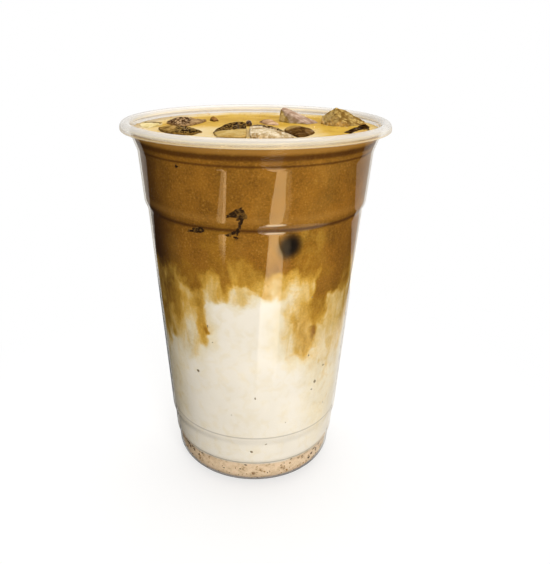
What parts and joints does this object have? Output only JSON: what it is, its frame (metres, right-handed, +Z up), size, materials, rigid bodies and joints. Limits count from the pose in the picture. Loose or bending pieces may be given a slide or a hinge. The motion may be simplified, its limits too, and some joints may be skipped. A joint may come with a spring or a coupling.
{
  "type": "iced biscuit latte",
  "caption": "Iced latte in a clear plastic takeaway cup: settled biscuit crumbs, milk, coffee sinking into it in tongues, and ice at the surface.",
  "frame": {"origin": "centre of the cup's flat base, on the surface it stands on", "axes": "+Z up along the cup's axis; -Y towards the picture's viewer; +X to the viewer's right"},
  "size_m": [0.0948, 0.095, 0.1376],
  "materials": {
    "cup_plastic": "clear, slightly hazy polypropylene with a gloss",
    "biscuit_crumbs": "wet biscuit crumbs settled in milk",
    "milk": "cream-white milk with amber clouds where coffee sinks in",
    "coffee": "brown milky coffee with fine golden grain",
    "ice": "wet ice, tinted by the coffee, clear to frosted"
  },
  "bodies": {
    "root": {"cup": "cup_plastic", "biscuit_crumbs": "biscuit_crumbs", "milk": "milk", "coffee": "coffee", "ice_left_long": "ice", "ice_left_dark": "ice", "ice_left_edge": "ice", "ice_back_small": "ice", "ice_middle": "ice", "ice_frosted": "ice", "ice_back_flat": "ice", "ice_tall": "ice", "ice_smooth": "ice", "ice_peaked": "ice", "ice_right_thin": "ice"}
  },
  "joints": []
}
